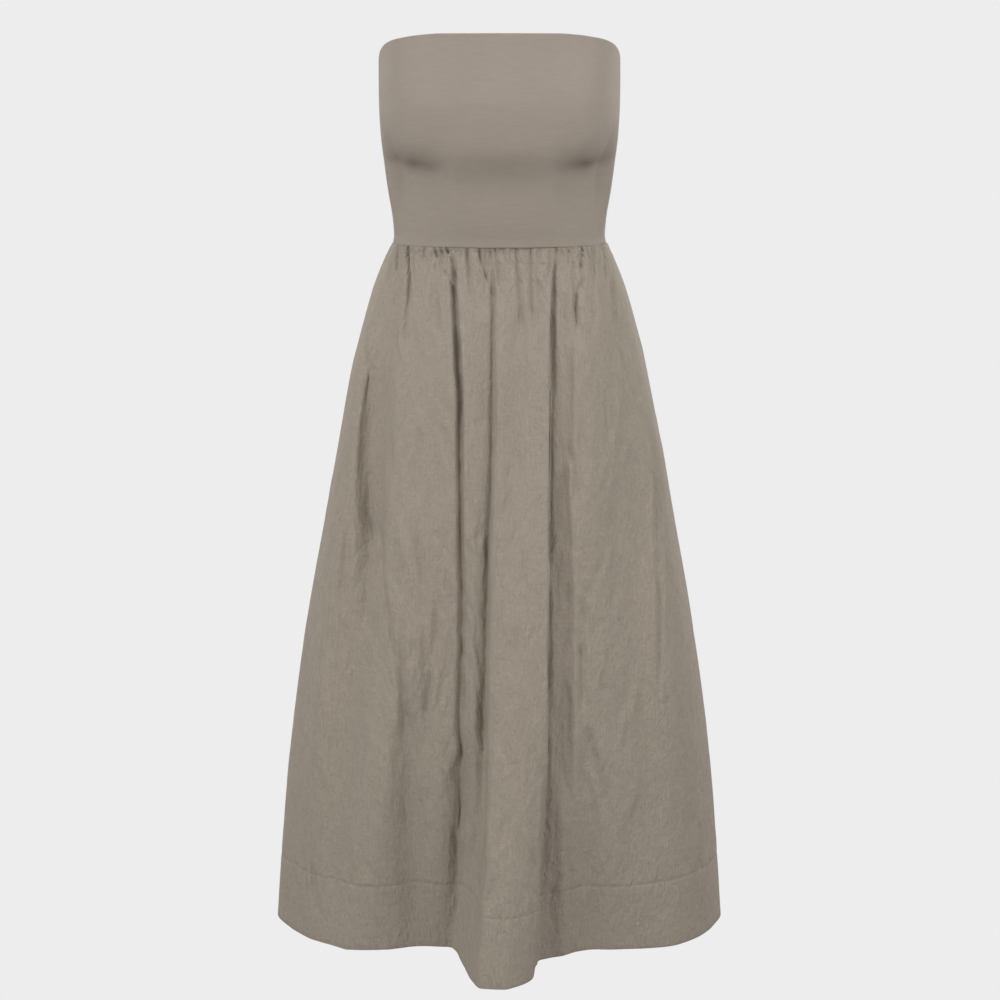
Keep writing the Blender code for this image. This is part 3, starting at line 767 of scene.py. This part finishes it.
def skirt_rings():
    """Points of the skirt's outside, by row from its top edge down and by column round the dress."""
    gather = skirt_columns()
    levels = fold_levels(gather)
    hem_front, hem_back = figure_at(HEM_Z)[1:]
    hem_depth = np.abs(levels[-1][:, 1]) * np.where(levels[-1][:, 1] < 0, hem_front, hem_back)
    plain_depth = np.sqrt(np.clip(1 - levels[-1][:, 0] ** 2, 0, 1)) * hem_front
    hem_z = HEM_Z - HEM_DROP_PER_METRE * np.clip(hem_depth - HEM_DROP_FROM, 0, None)
    hem_z = hem_z + HEM_RISE_PER_METRE * np.clip(plain_depth - hem_depth, 0, None)
    for _ in range(HEM_SOFTENING):
        hem_z = (np.roll(hem_z, 1) + 2 * hem_z + np.roll(hem_z, -1)) / 4
    top_z = WAIST_SEAM_Z + SKIRT_TOP_ABOVE_SEAM
    below = skirt_row_places()
    down = below[:, None] / SKIRT_LENGTH
    z = top_z + (hem_z + HEM_WALL / 2 - top_z) * down
    opening = ((top_z - np.array([top_z, HIP_Z, KNEE_Z, HEM_Z])) / (top_z - HEM_Z)) ** FOLD_OPENING_POWER
    share = smooth(opening, levels, down[:, 0] ** FOLD_OPENING_POWER)
    half_width, front_depth, back_depth = figure_at(z)
    x = share[..., 0] * half_width
    y = share[..., 1] * np.where(share[..., 1] < 0, front_depth, back_depth)
    below = np.broadcast_to(below[:, None], x.shape)
    for centre, half_count, low, half_length, shift in SWAYS:
        near = 1 - ((gather - centre) / half_count) ** 2
        height = 1 - ((below - low) / half_length) ** 2
        x = x + shift * ease(near) * ease(height)
    points = np.stack([x, y, z], axis=-1)
    relief = SKIRT_PUFF * ease(1 - below / SKIRT_PUFF_LENGTH)
    relief -= (SKIRT_TUCK + SKIRT_PUFF) * ease((SKIRT_TUCK_END - below) / SKIRT_TUCK_LENGTH)
    relief -= HEM_DENT * np.exp(-(((below - SKIRT_LENGTH + HEM_TURN_UP) / HEM_DENT_REACH) ** 2))
    outline = (np.abs(x) / half_width - CRINKLE_CALM_FROM) / (1 - CRINKLE_CALM_FROM)
    calm = 1 - CRINKLE_CALM * ease(outline)
    calm *= 1 - CRINKLE_HEM_LOSS * ease((below - SKIRT_LENGTH + HEM_TURN_UP) / HEM_TURN_UP)
    random = np.random.default_rng(CRINKLE_SEED)
    for first, table, facing in ((0, FRONT_CREASES, 1), (PANEL_COLUMNS, BACK_CREASES, -1)):
        part = slice(first, first + PANEL_COLUMNS)
        relief[:, part] += crease_relief(x[:, part] * facing, below[:, part], table)
        across = arcs(points[:, part])
        crinkles = crinkle_relief(across - across[:, -1:] / 2, below[:, part], random)
        relief[:, part] += calm[:, part] * crinkles
    points += outward(points) * relief[..., None]
    return points


def panel_grid(rings, first, last, wall):
    """One panel's points, set back from both side seams so that its rounded rims leave the seam gap."""
    grid = rings[:, np.arange(first, last + 1) % rings.shape[1]].copy()
    back = (SEAM_GAP + wall) / 2
    for end, inner in ((0, 1), (-1, -2)):
        inwards = grid[:, inner] - grid[:, end]
        grid[:, end] += inwards * (back / np.linalg.norm(inwards, axis=-1, keepdims=True))
    return grid


def rim(grid):
    """The values along all four edges of a panel's grid, in order round it."""
    return np.concatenate([grid[0], grid[1:, -1], grid[-1, -2::-1], grid[-2:0:-1, 0]])


def add_shell(name, outside, inside, flat, material):
    """A closed thin shell between two grids of points, with rounded rims.

    flat is each point's place on the cut cloth.
    """
    rows, columns = outside.shape[:2]
    number = np.arange(rows * columns).reshape(rows, columns)
    quads = np.stack([number[:-1, :-1], number[1:, :-1], number[1:, 1:], number[:-1, 1:]], axis=-1)
    quads = quads.reshape(-1, 4)
    count = rows * columns
    faces = [quads, quads[:, ::-1] + count]
    away = np.zeros_like(outside)
    away[0] = outside[0] - outside[1]
    away[-1] = outside[-1] - outside[-2]
    away[1:-1, 0] = outside[1:-1, 0] - outside[1:-1, 1]
    away[1:-1, -1] = outside[1:-1, -1] - outside[1:-1, -2]
    away = rim(away)
    away /= np.linalg.norm(away, axis=-1, keepdims=True)
    middle = rim((outside + inside) / 2)
    half = rim((outside - inside) / 2)
    radius = np.linalg.norm(half, axis=-1, keepdims=True)
    points = [outside.reshape(-1, 3), inside.reshape(-1, 3)]
    places = [flat.reshape(-1, 2), flat.reshape(-1, 2)]
    loops = [rim(number)]
    total = 2 * count
    for step in range(1, RIM_STEPS):
        turn = math.pi * step / RIM_STEPS
        points.append(middle + half * math.cos(turn) + away * radius * math.sin(turn))
        places.append(rim(flat))
        loops.append(np.arange(total, total + len(middle)))
        total += len(middle)
    loops.append(rim(number) + count)
    for near, far in zip(loops, loops[1:]):
        faces.append(np.stack([np.roll(near, 1), near, far, np.roll(far, 1)], axis=-1))
    faces = np.concatenate(faces)
    points = np.concatenate(points)
    places = np.concatenate(places)
    data = bpy.data.meshes.new(name)
    data.vertices.add(len(points))
    data.vertices.foreach_set("co", points.astype(np.float32).ravel())
    data.loops.add(faces.size)
    data.loops.foreach_set("vertex_index", faces.astype(np.int32).ravel())
    data.polygons.add(len(faces))
    data.polygons.foreach_set("loop_start", np.arange(0, faces.size, 4, dtype=np.int32))
    data.update(calc_edges=True)
    data.validate()
    layer = data.uv_layers.new(name="cloth")
    layer.uv.foreach_set("vector", places[faces.ravel()].astype(np.float32).ravel())
    data.materials.append(material)
    data.shade_smooth()
    piece = bpy.data.objects.new(name, data)
    bpy.context.scene.collection.objects.link(piece)
    return piece


def node(tree, kind, **inputs):
    """A node with some of its sockets set or linked, by name with spaces for underscores."""
    made = tree.nodes.new(kind)
    for key, value in inputs.items():
        socket = made.inputs[key.replace("_", " ")]
        if isinstance(value, bpy.types.NodeSocket):
            tree.links.new(value, socket)
        else:
            socket.default_value = value
    return made


def math_node(tree, operation, *values):
    """The result of a Math node of numbers and sockets."""
    made = tree.nodes.new("ShaderNodeMath")
    made.operation = operation
    for socket, value in zip(made.inputs, values):
        if isinstance(value, bpy.types.NodeSocket):
            tree.links.new(value, socket)
        else:
            socket.default_value = value
    return made.outputs[0]


def wave(tree, place, period, phase=0.0):
    """A sine wave of a place in metres."""
    turn = math_node(tree, "MULTIPLY_ADD", place, 2 * math.pi / period, phase)
    return math_node(tree, "SINE", turn)


def noise(tree, across, down, wide, tall, detail=2.0):
    """Noise from 0 to 1 with patches of a width and a height in metres."""
    place = tree.nodes.new("ShaderNodeCombineXYZ")
    tree.links.new(math_node(tree, "MULTIPLY", across, 1 / wide), place.inputs["X"])
    tree.links.new(math_node(tree, "MULTIPLY", down, 1 / tall), place.inputs["Y"])
    made = node(tree, "ShaderNodeTexNoise", Vector=place.outputs[0], Scale=1.0, Detail=detail)
    return made.outputs["Fac"]


def weighted(tree, *terms):
    """The sum of sockets, each times its own number."""
    total = 0.0
    for socket, weight in terms:
        total = math_node(tree, "MULTIPLY_ADD", socket, weight, total)
    return total


def soft_material(name, colour, sheen, roughness):
    """A material with a soft fibrous shader, and its tree and shader."""
    material = bpy.data.materials.new(name)
    material.use_nodes = True
    tree = material.node_tree
    shader = tree.nodes["Principled BSDF"]
    shader.inputs["Base Color"].default_value = (*colour, 1)
    shader.inputs["Roughness"].default_value = roughness
    shader.inputs["Specular IOR Level"].default_value = 0.22
    shader.inputs["Sheen Weight"].default_value = sheen
    shader.inputs["Sheen Roughness"].default_value = 0.45
    return material, tree, shader


def cut_cloth(tree):
    """Places across and down the cut cloth in metres."""
    cloth = tree.nodes.new("ShaderNodeUVMap")
    cloth.uv_map = "cloth"
    places = node(tree, "ShaderNodeSeparateXYZ", Vector=cloth.outputs[0])
    return places.outputs["X"], places.outputs["Y"]


def shade(tree, shader, colour, shift, height, depth):
    """Colours the shader by a shift that is 0 on the average, and bumps it by a height times a depth."""
    level = math_node(tree, "ADD", shift, 1.0)
    tint = node(tree, "ShaderNodeVectorMath", Vector=colour)
    tint.operation = "SCALE"
    tree.links.new(level, tint.inputs["Scale"])
    tree.links.new(tint.outputs[0], shader.inputs["Base Color"])
    bump = node(tree, "ShaderNodeBump", Strength=1.0, Distance=depth, Height=height)
    tree.links.new(bump.outputs[0], shader.inputs["Normal"])


def plain_material(name, colour):
    """A matt material of one colour, for the floor."""
    material = bpy.data.materials.new(name)
    material.use_nodes = True
    shader = material.node_tree.nodes["Principled BSDF"]
    shader.inputs["Base Color"].default_value = (*colour, 1)
    shader.inputs["Roughness"].default_value = 0.9
    return material


def knit_material():
    """A smooth fine-gauge double knit: ribs of small v-shaped loops, with a faint unevenness."""
    material, tree, shader = soft_material("fine_knit", KNIT_COLOUR, 0.08, 0.85)
    across, down = cut_cloth(tree)
    rib = wave(tree, across, KNIT_WALE)
    limb = math_node(tree, "ABSOLUTE", wave(tree, across, 2 * KNIT_WALE))
    climb = math_node(tree, "MULTIPLY_ADD", limb, 0.5 * KNIT_COURSE, down)
    loops = wave(tree, climb, KNIT_COURSE)
    fuzz = noise(tree, across, down, 0.0012, 0.0012)
    cloud = noise(tree, across, down, 0.0130, 0.0070)
    course = noise(tree, across, down, 0.0400, 0.0011, 1.0)
    shift = weighted(tree, (loops, 0.015), (fuzz, 0.240), (cloud, 0.080), (course, 0.140))
    shift = math_node(tree, "SUBTRACT", shift, 0.230)
    height = weighted(tree, (rib, 0.35), (loops, 0.30), (fuzz, 0.60), (course, 0.50))
    shade(tree, shader, KNIT_COLOUR, shift, height, KNIT_RELIEF)
    return material


def woven_material():
    """A plain weave of uneven yarns, finely crumpled all over."""
    material, tree, shader = soft_material("crinkled_woven", WOVEN_COLOUR, 0.06, 0.85)
    across, down = cut_cloth(tree)
    warp = wave(tree, across, YARN_PITCH)
    weft = wave(tree, down, YARN_PITCH)
    weave = math_node(tree, "MULTIPLY", warp, weft)
    warp_slub = noise(tree, across, down, 0.0010, 0.0300)
    weft_slub = noise(tree, across, down, 0.0240, 0.0010)
    mottle = noise(tree, across, down, 0.0028, 0.0040)
    cloud = noise(tree, across, down, 0.0150, 0.0300)
    shift = weighted(
        tree,
        (weave, 0.02), (warp_slub, 0.32), (weft_slub, 0.24),
        (mottle, 0.26), (cloud, 0.08),
    )
    shift = math_node(tree, "SUBTRACT", shift, 0.45)
    crumple = noise(tree, across, down, 0.0060, 0.0130, 3.0)
    fine = noise(tree, across, down, 0.0018, 0.0042)
    near = math_node(tree, "MULTIPLY_ADD", down, 1 / PLEATS_LENGTH, 1.0)
    near = math_node(tree, "POWER", math_node(tree, "MAXIMUM", near, 0.0), PLEATS_FADE_POWER)
    pleats = math_node(tree, "MULTIPLY", noise(tree, across, down, 0.0034, 0.0700), near)
    height = weighted(
        tree,
        (weave, 0.03), (warp_slub, 0.09), (weft_slub, 0.06),
        (crumple, 1.8), (fine, 0.55), (pleats, 2.4),
    )
    shade(tree, shader, WOVEN_COLOUR, shift, height, WOVEN_RELIEF)
    return material


def thread_material():
    """A twisted sewing thread: slanting plies with a little fluff."""
    material, tree, shader = soft_material("sewing_thread", THREAD_COLOUR, 0.10, 0.80)
    coordinates = tree.nodes.new("ShaderNodeTexCoord")
    places = node(tree, "ShaderNodeSeparateXYZ", Vector=coordinates.outputs["Object"])
    slant = math_node(tree, "MULTIPLY_ADD", places.outputs["X"], 0.8, places.outputs["Z"])
    plies = wave(tree, slant, THREAD_PLY)
    fluff = noise(tree, places.outputs["X"], places.outputs["Z"], 0.0006, 0.0006)
    shift = math_node(tree, "SUBTRACT", weighted(tree, (plies, 0.06), (fluff, 0.24)), 0.12)
    height = weighted(tree, (plies, 0.5), (fluff, 0.5))
    shade(tree, shader, THREAD_COLOUR, shift, height, THREAD_RELIEF)
    return material


def add_bodice():
    """The front and the back of the knit tube."""
    knit = knit_material()
    rings = bodice_rings()
    inner = rings - outward(rings) * KNIT_WALL
    down = np.linspace(0, 1, BODICE_ROWS + 1)
    for name, first in (("bodice_front", 0), ("bodice_back", BODICE_COLUMNS)):
        outside = panel_grid(rings, first, first + BODICE_COLUMNS, KNIT_WALL)
        inside = panel_grid(inner, first, first + BODICE_COLUMNS, KNIT_WALL)
        width, length = BODICE_CUT[name]
        flat = cut_places(outside, down, width, width, length)
        piece = add_shell(name + "_knit", outside, inside, flat, knit)
        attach(piece, "root")
        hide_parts(name)


def add_stitches(name, outside, row, material):
    """A row of short sewn stitches on the outside of a panel, along one of its rows of points."""
    line = outside[row]
    along = arcs(outside[row:row + 1])[0]
    normal = outward(outside)[row]
    count = int(along[-1] / HEM_STITCH_PITCH)
    centres = (np.arange(count) + 0.5) * along[-1] / count
    sides = HEM_STITCH_SIDES
    ring = np.arange(sides) * 2 * math.pi / sides
    points = []
    faces = []
    for centre in centres:
        base = len(points)
        for place, size, sink in HEM_STITCH_SHAPE:
            at = centre + place * HEM_STITCH_LENGTH
            middle = np.array([np.interp(at, along, line[:, axis]) for axis in range(3)])
            out = np.array([np.interp(at, along, normal[:, axis]) for axis in range(3)])
            middle += out * HEM_STITCH_RADIUS * sink
            for turn in ring:
                up = np.array([0, 0, math.sin(turn)])
                points.append(middle + HEM_STITCH_RADIUS * size * (out * math.cos(turn) + up))
        last = base + sides * (len(HEM_STITCH_SHAPE) - 1)
        for near in range(base, last, sides):
            far = near + sides
            for side in range(sides):
                after = (side + 1) % sides
                faces.append((near + side, near + after, far + after, far + side))
        faces.append(tuple(range(base, base + sides))[::-1])
        faces.append(tuple(range(last, last + sides)))
    data = bpy.data.meshes.new(name)
    data.from_pydata(points, [], faces)
    data.materials.append(material)
    data.shade_smooth()
    piece = bpy.data.objects.new(name, data)
    bpy.context.scene.collection.objects.link(piece)
    return piece


def add_skirt():
    """The front and the back of the woven skirt, each with the stitches of its hem."""
    woven = woven_material()
    thread = thread_material()
    rings = skirt_rings()
    below = skirt_row_places()
    stitch_row = int(np.argmin(np.abs(below - (SKIRT_LENGTH - HEM_TURN_UP))))
    wall = np.where(below > SKIRT_LENGTH - HEM_TURN_UP, HEM_WALL, WOVEN_WALL)[:, None, None]
    inner = rings - outward(rings) * wall
    for name, first in (("skirt_front", 0), ("skirt_back", PANEL_COLUMNS)):
        outside = panel_grid(rings, first, first + PANEL_COLUMNS, WOVEN_WALL)
        inside = panel_grid(inner, first, first + PANEL_COLUMNS, WOVEN_WALL)
        flat = cut_places(outside, below / SKIRT_LENGTH, SKIRT_CUT_TOP, SKIRT_CUT_HEM, SKIRT_LENGTH)
        piece = add_shell(name + "_woven", outside, inside, flat, woven)
        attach(piece, "root")
        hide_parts(name)
        stitches = add_stitches(name + "_hem_stitches", outside, stitch_row, thread)
        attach(stitches, "root")


def seen_bright(tree, lit_shader, seen_colour):
    """The lit shader for everything but the camera, which sees an even pale colour."""
    path = tree.nodes.new("ShaderNodeLightPath")
    seen = tree.nodes.new("ShaderNodeEmission")
    seen.inputs["Color"].default_value = (*seen_colour, 1)
    mix = tree.nodes.new("ShaderNodeMixShader")
    tree.links.new(path.outputs["Is Camera Ray"], mix.inputs["Fac"])
    tree.links.new(lit_shader.outputs[0], mix.inputs[1])
    tree.links.new(seen.outputs[0], mix.inputs[2])
    output = next(node for node in tree.nodes if node.type.startswith("OUTPUT"))
    tree.links.new(mix.outputs[0], output.inputs["Surface"])


def add_studio():
    """A pale floor well below the held dress, a pale sky, and softboxes on both sides, front and back."""
    scene = bpy.context.scene
    scene.view_settings.view_transform = "Standard"
    world = bpy.data.worlds.new("studio")
    world.use_nodes = True
    tree = world.node_tree
    direction = tree.nodes.new("ShaderNodeTexCoord")
    height = tree.nodes.new("ShaderNodeSeparateXYZ")
    level = tree.nodes.new("ShaderNodeMapRange")
    level.inputs["To Min"].default_value = SKY_LEVEL
    level.inputs["To Max"].default_value = SKY_ABOVE
    tree.links.new(direction.outputs["Generated"], height.inputs[0])
    tree.links.new(height.outputs["Z"], level.inputs["Value"])
    sky = tree.nodes["Background"]
    sky.inputs["Color"].default_value = (1, 1, 1, 1)
    tree.links.new(level.outputs["Result"], sky.inputs["Strength"])
    seen_bright(tree, sky, BACKDROP_COLOUR)
    scene.world = world
    far = FLOOR_HALF_WIDTH
    corners = [(x, y, FLOOR_Z) for x, y in ((-far, -far), (far, -far), (far, far), (-far, far))]
    data = bpy.data.meshes.new("floor")
    data.from_pydata(corners, [], [(0, 1, 2, 3)])
    pale = plain_material("floor", FLOOR_COLOUR)
    seen_bright(pale.node_tree, pale.node_tree.nodes["Principled BSDF"], BACKDROP_COLOUR)
    data.materials.append(pale)
    floor = bpy.data.objects.new("floor", data)
    scene.collection.objects.link(floor)
    for name, place, size, power in SOFTBOXES:
        light = bpy.data.lights.new(name, "AREA")
        light.size = size
        light.energy = power
        lamp = bpy.data.objects.new(name, light)
        lamp.location = place
        aim = Vector(LIGHT_AIM) - Vector(place)
        lamp.rotation_euler = aim.to_track_quat("-Z", "Y").to_euler()
        scene.collection.objects.link(lamp)


def add_camera():
    """The camera that sees the dress from the front."""
    camera = bpy.data.objects.new("camera", bpy.data.cameras.new("camera"))
    camera.location = CAMERA_PLACE
    camera.rotation_euler = (math.radians(90 - CAMERA_PITCH), 0, 0)
    camera.data.lens = camera.data.sensor_width / 2 / math.tan(math.radians(CAMERA_FIELD / 2))
    bpy.context.scene.collection.objects.link(camera)
    bpy.context.scene.camera = camera


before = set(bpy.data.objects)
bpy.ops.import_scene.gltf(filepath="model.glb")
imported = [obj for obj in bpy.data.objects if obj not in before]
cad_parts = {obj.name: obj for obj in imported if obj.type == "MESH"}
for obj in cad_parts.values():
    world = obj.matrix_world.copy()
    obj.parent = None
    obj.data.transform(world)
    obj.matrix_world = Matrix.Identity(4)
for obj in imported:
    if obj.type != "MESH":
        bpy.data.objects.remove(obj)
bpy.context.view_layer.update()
add_camera()
add_studio()
add_bodice()
add_skirt()
